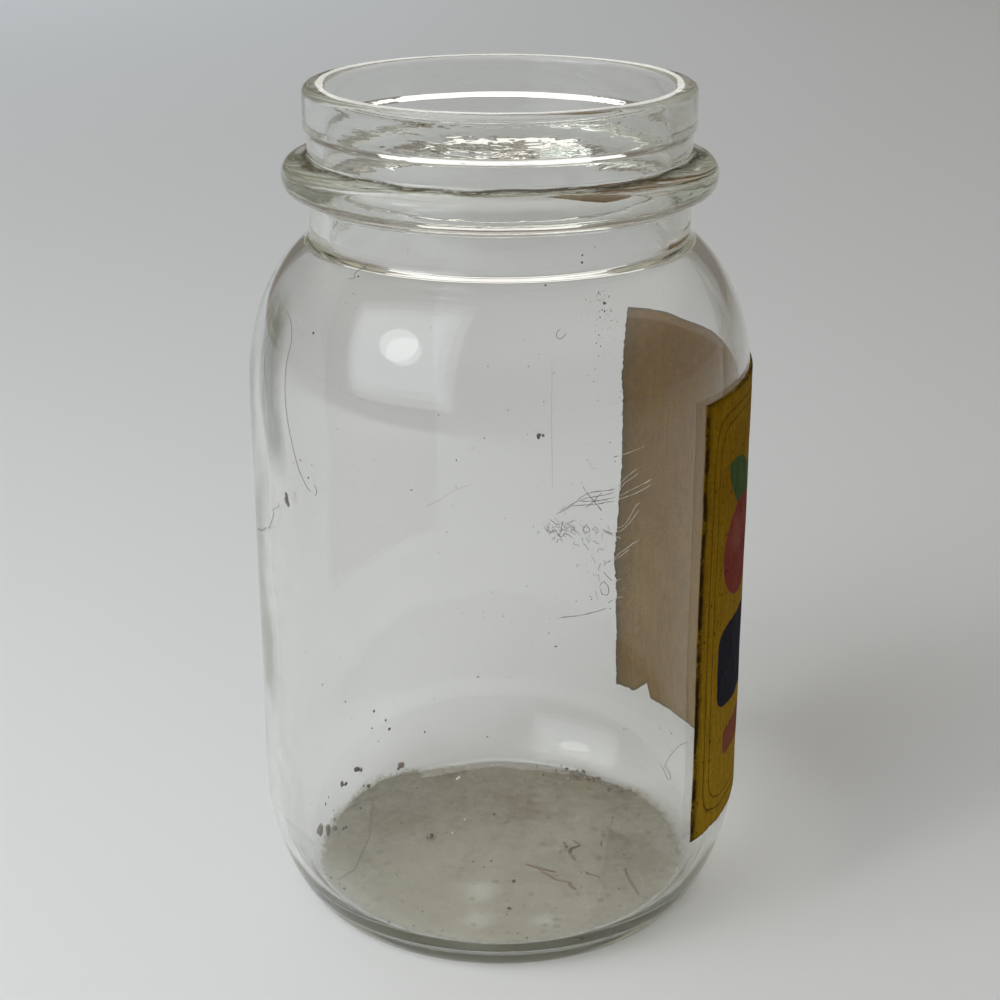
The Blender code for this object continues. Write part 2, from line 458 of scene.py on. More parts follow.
def mix_color(tree, share, first, second, blend="MIX"):
    """A Mix Color node."""
    node = tree.nodes.new("ShaderNodeMix")
    node.data_type = "RGBA"
    node.blend_type = blend
    feed(tree, node.inputs[0], share)
    feed(tree, node.inputs[6], first)
    feed(tree, node.inputs[7], second)
    return node.outputs[2]


def use_group(tree, group, **values):
    """Place a shader group and set its named inputs."""
    node = tree.nodes.new("ShaderNodeGroup")
    node.node_tree = group.tree
    for name, value in values.items():
        feed(tree, node.inputs[name.replace("_", " ")], value)
    return node


def patches_group():
    """Ragged patches: broad noise broken up by fine noise."""
    group = Group("ragged_patches",
                  [("Place", VECTOR, None), ("Scale", FLOAT, 60.0), ("Cover", FLOAT, 0.5),
                   ("Softness", FLOAT, 0.1), ("Raggedness", FLOAT, 0.3)],
                  [("Mask", FLOAT)])
    tree, inputs = group.tree, group.start.outputs
    broad = noise_node(tree, inputs["Place"], inputs["Scale"], 3.0, 0.55, 0.4)
    fine_scale = math_node(tree, "MULTIPLY", inputs["Scale"], 9.0)
    fine = noise_node(tree, inputs["Place"], fine_scale, 3.0, 0.6)
    fine = math_node(tree, "MULTIPLY", math_node(tree, "SUBTRACT", fine, 0.5), inputs["Raggedness"])
    height = math_node(tree, "ADD", broad, fine)
    edge = math_node(tree, "SUBTRACT", 1.0, inputs["Cover"])
    low = math_node(tree, "SUBTRACT", edge, inputs["Softness"])
    high = math_node(tree, "ADD", edge, inputs["Softness"])
    tree.links.new(ramp_node(tree, height, low, high), group.end.inputs["Mask"])
    return group


def speckle_group():
    """Small round specks of uneven size, scattered unevenly."""
    group = Group("speckle",
                  [("Place", VECTOR, None), ("Scale", FLOAT, 900.0), ("Size", FLOAT, 0.25),
                   ("Amount", FLOAT, 0.5)],
                  [("Mask", FLOAT)])
    tree, inputs = group.tree, group.start.outputs
    cells = tree.nodes.new("ShaderNodeTexVoronoi")
    tree.links.new(inputs["Place"], cells.inputs["Vector"])
    tree.links.new(inputs["Scale"], cells.inputs["Scale"])
    cells.inputs["Randomness"].default_value = 1.0
    split = tree.nodes.new("ShaderNodeSeparateColor")
    tree.links.new(cells.outputs["Color"], split.inputs[0])
    share = ramp_node(tree, split.outputs[0], 0.0, 1.0, 0.3, 1.0)
    size = math_node(tree, "MULTIPLY", inputs["Size"], share)
    inner = math_node(tree, "MULTIPLY", size, 0.6)
    dot = ramp_node(tree, cells.outputs["Distance"], inner, size, 1.0, 0.0)
    chosen = math_node(tree, "LESS_THAN", split.outputs[1], inputs["Amount"])
    tree.links.new(math_node(tree, "MULTIPLY", dot, chosen), group.end.inputs["Mask"])
    return group


def grain_group():
    """Paper fibres: fine streaks that run up the sheet, with a softer mottle behind them."""
    group = Group("paper_grain",
                  [("Place", VECTOR, None), ("Fineness", FLOAT, 1.0), ("Streak", FLOAT, 0.5),
                   ("Mottle", FLOAT, 0.5)],
                  [("Shade", FLOAT)])
    tree, inputs = group.tree, group.start.outputs
    stretched = vector_node(tree, "MULTIPLY", inputs["Place"], (1.0, 0.06, 1.0))
    scale = math_node(tree, "MULTIPLY", inputs["Fineness"], 160.0)
    streaks = noise_node(tree, stretched, scale, 5.0, 0.65)
    mottle = noise_node(tree, inputs["Place"], math_node(tree, "MULTIPLY", scale, 0.5), 5.0, 0.7)
    streaks = math_node(tree, "MULTIPLY", math_node(tree, "SUBTRACT", streaks, 0.5), inputs["Streak"])
    mottle = math_node(tree, "MULTIPLY", math_node(tree, "SUBTRACT", mottle, 0.5), inputs["Mottle"])
    shade = math_node(tree, "ADD", math_node(tree, "ADD", streaks, mottle), 0.5)
    tree.links.new(shade, group.end.inputs["Shade"])
    return group


def shape_group():
    """A flat printed shape, from lozenge through leaf and disc to rounded box."""
    group = Group("printed_shape",
                  [("Place", VECTOR, None), ("Centre", VECTOR, None), ("Reach", VECTOR, (1, 1, 1)),
                   ("Turn", FLOAT, 0.0), ("Fullness", FLOAT, 2.0), ("Softness", FLOAT, 0.05)],
                  [("Mask", FLOAT), ("Depth", FLOAT)])
    tree, inputs = group.tree, group.start.outputs
    offset = vector_node(tree, "SUBTRACT", inputs["Place"], inputs["Centre"])
    turned = tree.nodes.new("ShaderNodeVectorRotate")
    turned.rotation_type = "Z_AXIS"
    tree.links.new(offset, turned.inputs["Vector"])
    tree.links.new(inputs["Turn"], turned.inputs["Angle"])
    share = vector_node(tree, "ABSOLUTE", vector_node(tree, "DIVIDE", turned.outputs[0], inputs["Reach"]))
    split = tree.nodes.new("ShaderNodeSeparateXYZ")
    tree.links.new(share, split.inputs[0])
    across = math_node(tree, "POWER", split.outputs[0], inputs["Fullness"])
    up = math_node(tree, "POWER", split.outputs[1], inputs["Fullness"])
    total = math_node(tree, "ADD", across, up)
    distance = math_node(tree, "POWER", total, math_node(tree, "DIVIDE", 1.0, inputs["Fullness"]))
    low = math_node(tree, "SUBTRACT", 1.0, inputs["Softness"])
    tree.links.new(ramp_node(tree, distance, low, 1.0, 1.0, 0.0), group.end.inputs["Mask"])
    tree.links.new(distance, group.end.inputs["Depth"])
    return group


PATCHES = patches_group()
SPECKLE = speckle_group()
GRAIN = grain_group()
SHAPE = shape_group()


# Materials

def new_material(name, color, roughness, specular=0.5):
    """A node material and its Principled shader."""
    material = bpy.data.materials.new(name)
    material.use_nodes = True
    tree = material.node_tree
    shader = tree.nodes["Principled BSDF"]
    shader.inputs["Base Color"].default_value = (*color, 1.0)
    shader.inputs["Roughness"].default_value = roughness
    shader.inputs["Specular IOR Level"].default_value = specular
    return material, tree, shader


def object_place(tree):
    """Object coordinates, in metres."""
    return tree.nodes.new("ShaderNodeTexCoord").outputs["Object"]


def add_bump(tree, shader, height, distance, strength=1.0):
    """Relief on a shader from a height."""
    bump = tree.nodes.new("ShaderNodeBump")
    bump.inputs["Strength"].default_value = strength
    bump.inputs["Distance"].default_value = distance
    tree.links.new(height, bump.inputs["Height"])
    tree.links.new(bump.outputs[0], shader.inputs["Normal"])


def make_glass_material():
    """Clear soda-lime glass: olive in the depth, open to lamps, with fine ripples on its pressed neck."""
    material, tree, shader = new_material("clear_glass", (1.0, 1.0, 1.0), 0.0)
    shader.inputs["IOR"].default_value = 1.5
    shader.inputs["Transmission Weight"].default_value = 1.0
    lamp_way = tree.nodes.new("ShaderNodeBsdfTransparent")
    lamp_way.inputs["Color"].default_value = (0.93, 0.935, 0.925, 1.0)
    rays = tree.nodes.new("ShaderNodeLightPath")
    mix = tree.nodes.new("ShaderNodeMixShader")
    output = tree.nodes["Material Output"]
    trapped = math_node(tree, "GREATER_THAN", rays.outputs["Glossy Depth"], 3.5)
    open_way = math_node(tree, "MAXIMUM", rays.outputs["Is Shadow Ray"], trapped)
    tree.links.new(open_way, mix.inputs[0])
    tree.links.new(shader.outputs[0], mix.inputs[1])
    tree.links.new(lamp_way.outputs[0], mix.inputs[2])
    tree.links.new(mix.outputs[0], output.inputs["Surface"])
    depth = tree.nodes.new("ShaderNodeVolumeAbsorption")
    depth.inputs["Color"].default_value = (0.90, 0.905, 0.865, 1.0)
    depth.inputs["Density"].default_value = 95.0
    tree.links.new(depth.outputs[0], output.inputs["Volume"])

    surface = object_place(tree)
    split = tree.nodes.new("ShaderNodeSeparateXYZ")
    tree.links.new(surface, split.inputs[0])
    on_neck = ramp_node(tree, split.outputs[2], 138.0 * MM, 147.0 * MM)
    stretched = vector_node(tree, "MULTIPLY", surface, (0.28, 0.28, 1.0))
    ripples = noise_node(tree, stretched, 330.0, 3.0, 0.55, 0.3)
    broad = noise_node(tree, surface, 45.0, 2.0, 0.5)
    depth_of_ripples = ramp_node(tree, on_neck, 0.0, 1.0, 0.03, 0.62, smooth=False)
    fine = math_node(tree, "MULTIPLY", ripples, depth_of_ripples)
    add_bump(tree, shader, math_node(tree, "ADD", fine, math_node(tree, "MULTIPLY", broad, 0.8)), 0.00011)
    return material


def make_print_material():
    """The label's printed face: mustard ground, double border, round fruit, leaves and a plain banner."""
    material, tree, shader = new_material("printed_face", (0.20, 0.11, 0.002), 0.7, 0.02)
    sheet = tree.nodes.new("ShaderNodeUVMap")
    sheet.uv_map = "sheet"
    place = vector_node(tree, "SCALE", sheet.outputs[0])
    place.node.inputs["Scale"].default_value = 100.0
    surface = object_place(tree)

    def shape(centre, reach, turn=0.0, fullness=2.0, softness=0.04):
        node = use_group(tree, SHAPE, Place=place, Centre=(*centre, 0.0), Reach=(*reach, 1.0),
                         Turn=math.radians(turn), Fullness=fullness, Softness=softness)
        return node.outputs["Mask"]

    split = tree.nodes.new("ShaderNodeSeparateXYZ")
    tree.links.new(place, split.inputs[0])
    low_down = ramp_node(tree, split.outputs[1], 10.0, 80.0, 1.0, 0.0, smooth=False)
    color = mix_color(tree, low_down, (0.235, 0.122, 0.0012, 1.0), (0.400, 0.240, 0.0140, 1.0))
    blotch = use_group(tree, PATCHES, Place=surface, Scale=70.0, Cover=0.5, Softness=0.2).outputs["Mask"]
    color = mix_color(tree, math_node(tree, "MULTIPLY", blotch, 0.5), color, (0.360, 0.215, 0.006, 1.0))
    middle = (41.7, 46.3)
    outer_line = math_node(tree, "SUBTRACT", shape(middle, (38.6, 43.2), 0, 14.0, 0.004),
                           shape(middle, (38.2, 42.8), 0, 14.0, 0.004))
    inner_line = math_node(tree, "SUBTRACT", shape(middle, (36.4, 41.0), 0, 14.0, 0.004),
                           shape(middle, (36.1, 40.7), 0, 14.0, 0.004))
    lines = math_node(tree, "ADD", outer_line, inner_line, clamp=True)
    color = mix_color(tree, math_node(tree, "MULTIPLY", lines, 0.6), color, (0.03, 0.016, 0.002, 1.0))
    for centre, turn in (((17.5, 72.5), 35.0), ((32.0, 77.0), -30.0), ((51.0, 76.5), 28.0),
                         ((66.0, 72.0), -35.0)):
        color = mix_color(tree, shape(centre, (9.5, 4.6), turn, 1.5), color, (0.060, 0.105, 0.035, 1.0))
    for centre, radius in (((19.0, 58.5), 10.5), ((41.7, 62.5), 12.0), ((64.5, 58.5), 10.5)):
        color = mix_color(tree, shape(centre, (radius, radius)), color, (0.240, 0.050, 0.035, 1.0))
        glow = shape((centre[0] - 3.0, centre[1] + 3.0), (radius * 0.55, radius * 0.55), 0, 2.0, 0.8)
        color = mix_color(tree, math_node(tree, "MULTIPLY", glow, 0.5), color, (0.34, 0.13, 0.09, 1.0))
    banner = shape((41.7, 34.5), (34.0, 9.6), 0.0, 7.0, 0.012)
    color = mix_color(tree, banner, color, (0.020, 0.019, 0.030, 1.0))
    ribbon = shape((41.7, 17.0), (30.0, 3.4), 0.0, 7.0, 0.02)
    color = mix_color(tree, ribbon, color, (0.260, 0.080, 0.045, 1.0))

    grain = use_group(tree, GRAIN, Place=place, Fineness=0.012, Streak=1.3, Mottle=0.9).outputs["Shade"]
    shade = ramp_node(tree, grain, 0.1, 0.9, 0.55, 1.35, smooth=False)
    color = mix_color(tree, 1.0, color, shade, "MULTIPLY")
    # Darker along the edges, most at the near edge: the dark cut edge together with painted edge shadow.
    edge_marks = tree.nodes.new("ShaderNodeAttribute")
    edge_marks.attribute_name = "near_edge"
    ragged = use_group(tree, PATCHES, Place=surface, Scale=260.0, Cover=0.55, Softness=0.25,
                       Raggedness=0.6).outputs["Mask"]
    cut_edge_and_shadow = math_node(tree, "MULTIPLY", edge_marks.outputs["Fac"], math_node(tree, "ADD", ragged, 0.35), clamp=True)
    color = mix_color(tree, cut_edge_and_shadow, color, (0.028, 0.013, 0.001, 1.0))
    dots = use_group(tree, SPECKLE, Place=surface, Scale=900.0, Size=0.42, Amount=0.16).outputs["Mask"]
    color = mix_color(tree, math_node(tree, "MULTIPLY", dots, 0.75), color, (0.022, 0.012, 0.002, 1.0))
    tree.links.new(color, shader.inputs["Base Color"])
    tree.links.new(ramp_node(tree, grain, 0.2, 0.8, 0.8, 0.6, smooth=False), shader.inputs["Roughness"])
    add_bump(tree, shader, grain, 0.00006)
    return material


def make_back_material():
    """The label's bare back: dry brown paper and glue, seen through the glass."""
    material, tree, shader = new_material("bare_back", (0.18, 0.12, 0.05), 0.85, 0.05)
    sheet = tree.nodes.new("ShaderNodeUVMap")
    sheet.uv_map = "sheet"
    place = vector_node(tree, "SCALE", sheet.outputs[0])
    place.node.inputs["Scale"].default_value = 100.0
    surface = object_place(tree)
    broad = use_group(tree, PATCHES, Place=surface, Scale=38.0, Cover=0.5, Softness=0.25,
                      Raggedness=0.15).outputs["Mask"]
    color = mix_color(tree, broad, (0.250, 0.142, 0.018, 1.0), (0.320, 0.205, 0.050, 1.0))
    split = tree.nodes.new("ShaderNodeSeparateXYZ")
    tree.links.new(place, split.inputs[0])
    towards_top = ramp_node(tree, split.outputs[1], 35.0, 92.0, 0.0, 1.0, smooth=False)
    color = mix_color(tree, towards_top, color, (0.165, 0.080, 0.001, 1.0))
    by_edge = ramp_node(tree, split.outputs[0], 76.0, 83.5, 0.0, 0.55)
    color = mix_color(tree, by_edge, color, (0.095, 0.052, 0.002, 1.0))
    grain = use_group(tree, GRAIN, Place=place, Fineness=0.008, Streak=0.9, Mottle=1.1).outputs["Shade"]
    shade = ramp_node(tree, grain, 0.1, 0.9, 0.62, 1.36, smooth=False)
    color = mix_color(tree, 1.0, color, shade, "MULTIPLY")
    # A dark rim along every edge: the torn paper edge together with painted edge shadow.
    edge_marks = tree.nodes.new("ShaderNodeAttribute")
    edge_marks.attribute_name = "rim"
    color = mix_color(tree, math_node(tree, "MULTIPLY", edge_marks.outputs["Fac"], 0.85), color,
                      (0.030, 0.018, 0.006, 1.0))
    dots = use_group(tree, SPECKLE, Place=surface, Scale=500.0, Size=0.3, Amount=0.1).outputs["Mask"]
    color = mix_color(tree, math_node(tree, "MULTIPLY", dots, 0.5), color, (0.05, 0.03, 0.012, 1.0))
    tree.links.new(color, shader.inputs["Base Color"])
    add_bump(tree, shader, grain, 0.0001)
    return material


def make_film_and_glint_material():
    """Dried residue on the floor: an uneven olive-grey film with brown stains, denser at the back, and pale
    painted highlights near the front.
    """
    material, tree, shader = new_material("dried_film_and_glint", (0.3, 0.28, 0.2), 0.85, 0.25)
    surface = object_place(tree)
    edge = tree.nodes.new("ShaderNodeAttribute")
    edge.attribute_name = "inward"
    broad = use_group(tree, PATCHES, Place=surface, Scale=48.0, Cover=0.5, Softness=0.35,
                      Raggedness=0.35).outputs["Mask"]
    fine = use_group(tree, PATCHES, Place=surface, Scale=260.0, Cover=0.5, Softness=0.35,
                     Raggedness=0.8).outputs["Mask"]
    split = tree.nodes.new("ShaderNodeSeparateXYZ")
    tree.links.new(surface, split.inputs[0])
    towards_back = ramp_node(tree, split.outputs[1], -22.0 * MM, 34.0 * MM)
    towards_left = ramp_node(tree, split.outputs[0], 5.0 * MM, -34.0 * MM)
    color = mix_color(tree, towards_back, (0.540, 0.520, 0.370, 1.0), (0.290, 0.262, 0.142, 1.0))
    color = mix_color(tree, math_node(tree, "MULTIPLY", towards_left, 0.6), color, (0.132, 0.130, 0.082, 1.0))
    color = mix_color(tree, math_node(tree, "MULTIPLY", broad, 0.5), color, (0.250, 0.215, 0.145, 1.0))
    color = mix_color(tree, math_node(tree, "MULTIPLY", fine, 0.6), color, (0.470, 0.435, 0.340, 1.0))
    stain = use_group(tree, PATCHES, Place=surface, Scale=75.0, Cover=0.42, Softness=0.12,
                      Raggedness=0.7).outputs["Mask"]
    # Painted highlight: three soft pale blobs near the front of the floor stand in for the window's glint off
    # it.
    for centre, reach in (((-3.9, -20.5), 5.5), ((-4.2, -31.0), 4.5), ((9.0, -31.0), 3.5)):
        node = use_group(tree, SHAPE, Place=surface, Centre=(centre[0] * MM, centre[1] * MM, 0.0),
                         Reach=(reach * MM, reach * MM, 1.0), Softness=0.85)
        pale = math_node(tree, "MULTIPLY", node.outputs["Mask"], 0.8)
        color = mix_color(tree, pale, color, (0.72, 0.70, 0.62, 1.0))
    flecks = use_group(tree, SPECKLE, Place=surface, Scale=420.0, Size=0.5, Amount=0.35).outputs["Mask"]
    color = mix_color(tree, math_node(tree, "MULTIPLY", flecks, 0.45), color, (0.150, 0.115, 0.070, 1.0))
    stained = ramp_node(tree, towards_back, 0.0, 1.0, 0.2, 0.6, smooth=False)
    brown = math_node(tree, "MULTIPLY", stain, stained)
    color = mix_color(tree, brown, color, (0.165, 0.118, 0.052, 1.0))
    at_edge = ramp_node(tree, edge.outputs["Fac"], 0.0, 0.12, 0.7, 0.0)
    by_rim = math_node(tree, "MULTIPLY", at_edge, towards_back)
    color = mix_color(tree, by_rim, color, (0.135, 0.110, 0.058, 1.0))
    tree.links.new(color, shader.inputs["Base Color"])
    thick = math_node(tree, "ADD", ramp_node(tree, towards_back, 0.0, 1.0, 0.66, 0.90, smooth=False),
                      ramp_node(tree, fine, 0.0, 1.0, -0.10, 0.10, smooth=False))
    thick = math_node(tree, "ADD", thick, math_node(tree, "MULTIPLY", stain, 0.1), clamp=True)
    rough_edge = math_node(tree, "ADD", edge.outputs["Fac"],
                           ramp_node(tree, fine, 0.0, 1.0, -0.02, 0.02, smooth=False))
    alpha = math_node(tree, "MULTIPLY", thick, ramp_node(tree, rough_edge, 0.0, 0.07))
    tree.links.new(alpha, shader.inputs["Alpha"])
    add_bump(tree, shader, fine, 0.0001)
    return material


def make_patchy_film_material(name, color, dark_color, scale, cover, strength, softness=0.16,
                        stretch=(1.0, 1.0, 1.0)):
    """A patchy film of colour that thins out to nothing."""
    material, tree, shader = new_material(name, color, 0.85, 0.1)
    surface = vector_node(tree, "MULTIPLY", object_place(tree), stretch)
    inward = tree.nodes.new("ShaderNodeAttribute")
    inward.attribute_name = "inward"
    ragged = use_group(tree, PATCHES, Place=surface, Scale=scale, Cover=cover, Softness=softness,
                       Raggedness=0.9).outputs["Mask"]
    tree.links.new(mix_color(tree, ragged, (*color, 1.0), (*dark_color, 1.0)), shader.inputs["Base Color"])
    fade = ramp_node(tree, inward.outputs["Fac"], 0.0, 0.9, 0.0, strength)
    tree.links.new(math_node(tree, "MULTIPLY", ragged, fade), shader.inputs["Alpha"])
    return material


def make_plain_material(name, color, roughness, second, scale=900.0):
    """Matt stuff of two mixed shades, for hairs, crumbs and dust."""
    material, tree, shader = new_material(name, color, roughness, 0.3)
    mask = use_group(tree, PATCHES, Place=object_place(tree), Scale=scale, Cover=0.5,
                     Softness=0.2).outputs["Mask"]
    tree.links.new(mix_color(tree, mask, (*color, 1.0), (*second, 1.0)), shader.inputs["Base Color"])
    return material


# Pieces

def glass_waves(angles, heights, rows):
    """How far the glass departs from round: the pressed inside more than the outside."""
    turn = np.radians(angles)
    on_inside = rows < len(INSIDE) - 1
    inside = on_inside * np.clip((heights - 12 * MM) / (15 * MM), 0.0, 1.0)
    inside = inside * np.clip((168.0 * MM - heights) / (10 * MM), 0.0, 1.0)
    tall = heights / (10 * MM)
    broad = (0.10 * np.sin(2 * turn + 0.6 + 0.22 * tall) + 0.07 * np.sin(3 * turn - 1.1 - 0.35 * tall)
             + 0.05 * np.sin(5 * turn + 0.55 * tall + 2.0))
    fine = 0.018 * np.sin(11 * turn + 1.3 * tall) + 0.014 * np.sin(17 * turn - 1.9 * tall + 0.4)
    neck = np.clip((heights - 141.0 * MM) / (8 * MM), 0.0, 1.0)
    swell = 0.020 * np.sin(9 * turn + 2.2 * tall) + 0.016 * np.sin(23 * turn + 3.1 * tall + 1.0)
    ripple = (0.030 * np.sin(7.5 * tall + 1.2 * np.sin(4 * turn + 0.7) + 0.8 * np.sin(9 * turn))
              * np.sin(3 * turn + 1.3 * tall + 0.5))
    inner = inside * (broad + fine + 1.2 * neck * ripple)
    outer = neck * (swell + 0.7 * ripple - 0.04)
    return MM * np.where(on_inside, inner, outer)


def make_glass():
    """The glass body, finely turned, with a few seeds of air in its wall."""
    body = turned_mesh(INSIDE + OUTSIDE, GLASS_SEGMENTS, glass_waves)
    corners, faces = icosahedron()
    seeds = []
    for angle, height, size in ((-4.8, 68.4, 0.55), (33.0, 96.0, 0.3), (-28.0, 52.0, 0.28),
                                (-120.0, 84.0, 0.4), (170.0, 60.0, 0.35)):
        place = round_jar(BODY_RADIUS - BODY_WALL * 0.5, angle, height * MM)
        seeds.append((place + corners * size * 0.5 * MM, [face[::-1] for face in faces]))
    mesh = mesh_from("glass_body", *joined([body] + seeds))
    return add_piece("glass_body", mesh, [make_glass_material()], "jar")


def label_grid(rng):
    """Angles and heights of the label's grid, with its cut and torn edges."""
    u = np.linspace(0.0, 1.0, LABEL_COLUMNS)[None, :]
    v = np.linspace(0.0, 1.0, LABEL_ROWS)[:, None]

    def ragged(count, size, smoothing):
        steps = rng.normal(0.0, 1.0, count + smoothing)
        run = np.convolve(steps, np.ones(smoothing) / math.sqrt(smoothing), mode="valid")[:count]
        return run * size

    per_mm = math.degrees(1.0 * MM / BODY_RADIUS)
    near = LABEL_FROM + per_mm * (ragged(LABEL_ROWS, 0.05, 9) + 0.12 * np.sin(v[:, 0] * 9.0))
    far = LABEL_TO + per_mm * (ragged(LABEL_ROWS, 0.10, 2) + ragged(LABEL_ROWS, 0.09, 12))
    angle = near[:, None] + (far - near)[:, None] * u
    place = LABEL_FROM + (LABEL_TO - LABEL_FROM) * u
    rise = LABEL_RISE * u
    steep = (place - NOTCH_FROM) / (NOTCH_DEEPEST - NOTCH_FROM)
    slant = (NOTCH_TO - place) / (NOTCH_TO - NOTCH_DEEPEST)
    notch = NOTCH_DEPTH * np.clip(np.minimum(steep, slant), 0.0, 1.0)
    edge_marks = ragged(LABEL_COLUMNS, 0.07, 3) + ragged(LABEL_COLUMNS, 0.05, 14)
    low = LABEL_BOTTOM + 0.35 * rise + notch + MM * edge_marks
    high = LABEL_TOP + rise + MM * ragged(LABEL_COLUMNS, 0.05, 5)
    return angle, low + (high - low) * v


def make_label(rng):
    """The paper label: printed face outside, bare back inside, one closed thin sheet."""
    angle, height = label_grid(rng)
    rows, columns = angle.shape
    u = np.broadcast_to(np.linspace(0.0, 1.0, columns)[None, :], angle.shape)
    v = np.broadcast_to(np.linspace(0.0, 1.0, rows)[:, None], angle.shape)
    width = math.radians(LABEL_TO - LABEL_FROM) * BODY_RADIUS / MM
    tall = (LABEL_TOP - LABEL_BOTTOM) / MM
    from_side = np.minimum(u, 1.0 - u) * width
    from_end = np.minimum(v, 1.0 - v) * tall
    inward = np.minimum(from_side, from_end)
    wrinkle = 0.05 * np.sin(u * 55.0 + 2.5 * np.sin(v * 7.0)) * np.sin(v * 21.0 + u * 9.0)
    lift = 0.06 * np.exp(-u * width / 1.2) * (1.0 + np.sin(v * 17.0))
    face_radius = LABEL_FACE + MM * (wrinkle * np.clip(inward / 3.0, 0.0, 1.0) + lift
                                     - 0.12 * np.exp(-inward / 0.25))
    front = round_jar(face_radius, angle, height).reshape(-1, 3)
    back = round_jar(np.full(angle.shape, LABEL_BACK), angle, height).reshape(-1, 3)
    count = rows * columns
    faces = grid_faces(rows, columns)
    front_count = len(faces)
    faces += [tuple(i + count for i in quad[::-1]) for quad in grid_faces(rows, columns)]
    back_count = len(faces) - front_count
    index = np.arange(count).reshape(rows, columns)
    border = np.concatenate([index[0, :-1], index[:-1, -1], index[-1, :0:-1], index[:0:-1, 0]]).tolist()
    faces += [(a, a + count, b + count, b) for a, b in zip(border, border[1:] + border[:1])]
    mesh = mesh_from("label_sheet", np.vstack([front, back]), faces)
    place = np.stack([u * width, v * tall], axis=-1).reshape(-1, 2) / 100.0
    place = np.vstack([place, place])
    corners = np.empty(len(mesh.loops), dtype=np.int64)
    mesh.loops.foreach_get("vertex_index", corners)
    sheet = mesh.uv_layers.new(name="sheet")
    sheet.uv.foreach_set("vector", place[corners].astype(np.float32).ravel())
    # How near each point lies to the edges, for darkening them: the cut edge together with painted edge
    # shadow.
    near_edge = np.exp(-(u * width / 1.1) ** 1.5) + 0.8 * np.exp(-inward / 0.35)
    rim = np.exp(-inward / 0.4)
    for name, values in (("near_edge", near_edge), ("rim", rim)):
        flat = np.clip(np.concatenate([values.ravel(), values.ravel()]), 0.0, 1.0)
        mesh.attributes.new(name, "FLOAT", "POINT").data.foreach_set("value", flat.astype(np.float32))
    material_of = np.zeros(len(mesh.polygons), dtype=np.int32)
    material_of[front_count:front_count + back_count] = 1
    mesh.polygons.foreach_set("material_index", material_of)
    mesh.set_sharp_from_angle(angle=math.radians(50.0))
    return add_piece("label_sheet", mesh, [make_print_material(), make_back_material()],
                     "label")


def patch_mesh(name, points, inward):
    """An open patch from a grid of points, with how far in each point lies."""
    rows, columns = inward.shape
    mesh = mesh_from(name, points.reshape(-1, 3), grid_faces(rows, columns))
    mesh.attributes.new("inward", "FLOAT", "POINT").data.foreach_set(
        "value", inward.astype(np.float32).ravel())
    return mesh


FILM_REACH = ((-180.0, 36.8), (-161.0, 38.4), (-144.0, 41.0), (-134.0, 41.8), (-120.0, 40.8), (-94.0, 40.6),
              (-62.0, 41.0), (0.0, 41.2), (50.0, 41.6), (71.0, 42.2), (84.0, 41.2), (101.0, 40.6),
              (118.0, 40.6), (128.0, 40.4), (142.0, 38.4), (158.0, 37.8), (180.0, 36.8))


def make_film():
    """The film on the floor and the foot of the heel, bonded to the glass."""
    angles = np.linspace(-180.0, 180.0, 241)[:, None]
    turn = np.radians(angles)
    reach = np.interp(angles, *zip(*FILM_REACH))
    reach = (reach + 0.25 * np.sin(9 * turn + 1.0) + 0.18 * np.sin(17 * turn + 2.0)) * MM
    share = np.linspace(0.0, 1.0, 70)[None, :]
    radius = reach * share
    inward = np.broadcast_to(1.0 - share, radius.shape)
    points = on_floor(angles, np.maximum(radius, 0.05 * MM), -0.05 * MM)
    mesh = patch_mesh("dried_film_and_glint", points, inward)
    return add_piece("dried_film_and_glint", mesh, [make_film_and_glint_material()])


def make_smear_and_left_shade():
    """A thin streaky smear dried on the inside of the left wall, laid dark enough to be painted shade over
    the left of the body too.
    """
    columns, rows = 60, 90
    across = np.linspace(-1.0, 1.0, columns)[None, :]
    up = np.linspace(0.0, 1.0, rows)[:, None]
    height = (97.0 + 37.0 * up) * MM
    middle = -61.5 - 10.0 * up
    angles = middle + (8.5 + 4.0 * up) * across
    ends = np.clip(np.minimum(up * 3.5, (1.0 - up) * 5.0), 0.0, 1.0)
    inward = (1.0 - across ** 2) * ends
    points = on_wall(angles, height, 0.03 * MM, True)
    mesh = patch_mesh("smear_and_shade_on_wall", points, inward)
    # Dark olive at up to three quarters cover: real streaks, and painted shade for the darker left of the
    # body.
    material = make_patchy_film_material("streaky_smear_and_shade", (0.13, 0.128, 0.098), (0.08, 0.08, 0.058),
                                   150.0, 0.75, 0.75, 0.35, (1.0, 1.0, 0.16))
    return add_piece("smear_and_shade_on_wall", mesh, [material])


def make_dark_groove_line():
    """A thin dark olive-brown line in the groove where the neck meets the collar."""
    columns, rows = 721, 9
    angles = np.linspace(0.0, 360.0, columns)[:, None]
    turn = np.radians(angles)
    share = np.linspace(0.0, 1.0, rows)[None, :]
    swing = 0.10 * np.sin(7 * turn + 0.4) + 0.07 * np.sin(19 * turn + 1.0)
    height = (156.35 + swing + (0.75 + 0.5 * swing) * share) * MM
    inward = np.broadcast_to(1.0 - np.abs(2 * share - 1.0), height.shape)
    mesh = patch_mesh("dark_groove_line", on_wall(angles, height, 0.03 * MM, False), inward)
    # A dark olive-brown patchy line laid along the groove.
    material = make_patchy_film_material("dark_groove_tone", (0.10, 0.085, 0.05), (0.05, 0.042, 0.022),
                                   90.0, 0.68, 0.9, 0.3)
    return add_piece("dark_groove_line", mesh, [material])


